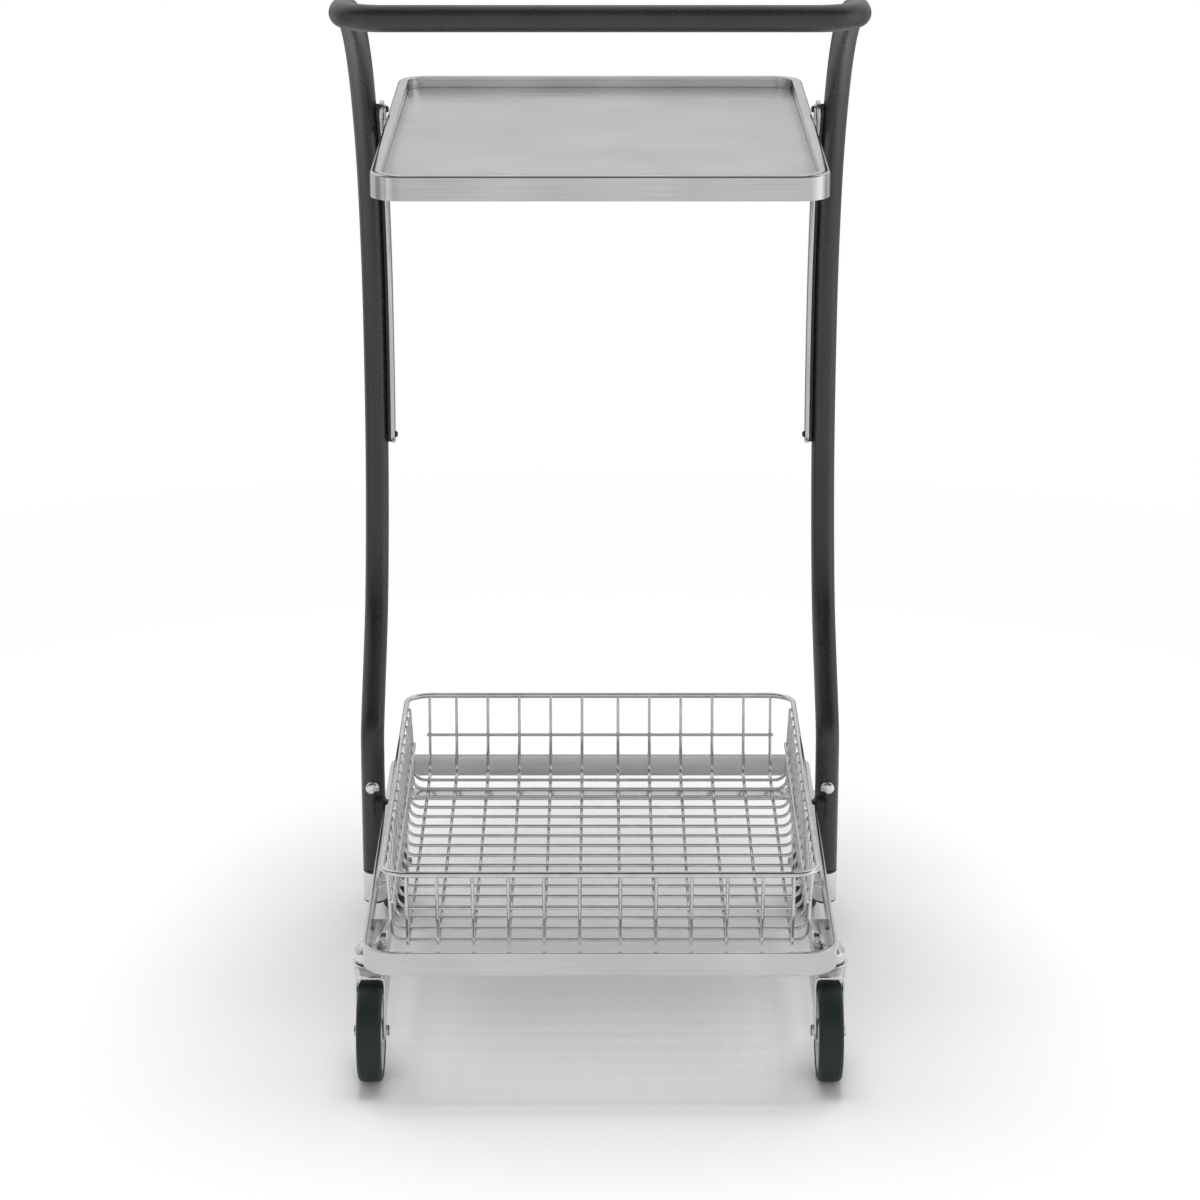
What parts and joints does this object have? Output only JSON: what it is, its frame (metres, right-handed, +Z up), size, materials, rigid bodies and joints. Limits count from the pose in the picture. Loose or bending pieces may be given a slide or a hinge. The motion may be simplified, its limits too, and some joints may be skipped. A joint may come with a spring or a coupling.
{
  "type": "airport luggage trolley",
  "caption": "Light luggage trolley: bent-tube push frame with a flat top tray, low wire basket in a flat-bar hoop, and small swivel and fixed casters.",
  "frame": {"origin": "on the ground under the middle of the bounding box", "axes": "+Z up, +Y in the direction of travel away from the user, +X to the user's right"},
  "size_m": [0.5066, 0.724, 1.0341],
  "materials": {
    "powder_coat": "fine-textured satin powder coat",
    "brushed_steel": "brushed stainless",
    "chrome": "bright plated wire",
    "zinc": "bright zinc plated",
    "black_plastic": "satin moulded",
    "tyre_rubber": "smooth satin dark grey-green",
    "wheel_core": "satin light grey moulding"
  },
  "bodies": {
    "chassis": {"push_frame": "powder_coat", "chassis_hoop": "brushed_steel", "far_cross_bar": "brushed_steel", "tray": "brushed_steel", "wire_basket": "chrome", "foot_stub_left": "zinc", "foot_stub_right": "zinc", "foot_cap_left": "black_plastic", "foot_cap_right": "black_plastic", "dome_bolt_left": "zinc", "dome_bolt_right": "zinc", "dome_nut_left": "zinc", "dome_nut_right": "zinc", "side_bolt_left": "zinc", "side_bolt_right": "zinc", "saddle_left": "black_plastic", "saddle_right": "black_plastic", "basket_peg_left": "zinc", "basket_peg_right": "zinc", "tray_rail_left": "brushed_steel", "tray_rail_right": "brushed_steel", "rail_gasket_left": "black_plastic", "rail_gasket_right": "black_plastic", "rail_screw_top_left": "black_plastic", "rail_screw_top_right": "black_plastic", "rail_screw_bottom_left": "black_plastic", "rail_screw_bottom_right": "black_plastic", "tray_bracket_left": "brushed_steel", "tray_bracket_right": "brushed_steel", "bracket_near_left": "brushed_steel", "bracket_near_right": "brushed_steel", "bracket_far_left": "brushed_steel", "bracket_far_right": "brushed_steel", "plate_bolt_near_left": "zinc", "plate_bolt_near_right": "zinc", "plate_bolt_far_left": "zinc", "plate_bolt_far_right": "zinc", "fork_far_left": "zinc", "fork_far_right": "zinc", "axle_bolt_far_left": "zinc", "axle_bolt_far_right": "zinc", "axle_nut_far_left": "zinc", "axle_nut_far_right": "zinc", "swivel_head_near_left": "zinc", "swivel_head_near_right": "zinc"},
    "near_left_fork": {"fork_near_left": "zinc", "axle_bolt_near_left": "zinc", "axle_nut_near_left": "zinc"},
    "near_left_wheel": {"wheel_near_left": "wheel_core", "tyre_near_left": "tyre_rubber"},
    "far_left_wheel": {"wheel_far_left": "wheel_core", "tyre_far_left": "tyre_rubber"},
    "near_right_fork": {"fork_near_right": "zinc", "axle_bolt_near_right": "zinc", "axle_nut_near_right": "zinc"},
    "near_right_wheel": {"wheel_near_right": "wheel_core", "tyre_near_right": "tyre_rubber"},
    "far_right_wheel": {"wheel_far_right": "wheel_core", "tyre_far_right": "tyre_rubber"}
  },
  "joints": [
    {"name": "near_left_swivel", "type": "hinge", "parent": "chassis", "child": "near_left_fork", "pos_m": [-0.2236, -0.2655, 0.107], "axis": [0, 0, 1], "continuous": true},
    {"name": "near_left_roll", "type": "hinge", "parent": "near_left_fork", "child": "near_left_wheel", "pos_m": [-0.2236, -0.301, 0.05], "axis": [1, 0, 0], "continuous": true},
    {"name": "far_left_roll", "type": "hinge", "parent": "chassis", "child": "far_left_wheel", "pos_m": [-0.2236, 0.138, 0.05], "axis": [1, 0, 0], "continuous": true},
    {"name": "near_right_swivel", "type": "hinge", "parent": "chassis", "child": "near_right_fork", "pos_m": [0.2236, -0.2655, 0.107], "axis": [0, 0, 1], "continuous": true},
    {"name": "near_right_roll", "type": "hinge", "parent": "near_right_fork", "child": "near_right_wheel", "pos_m": [0.2236, -0.301, 0.05], "axis": [1, 0, 0], "continuous": true},
    {"name": "far_right_roll", "type": "hinge", "parent": "chassis", "child": "far_right_wheel", "pos_m": [0.2236, 0.138, 0.05], "axis": [1, 0, 0], "continuous": true}
  ]
}
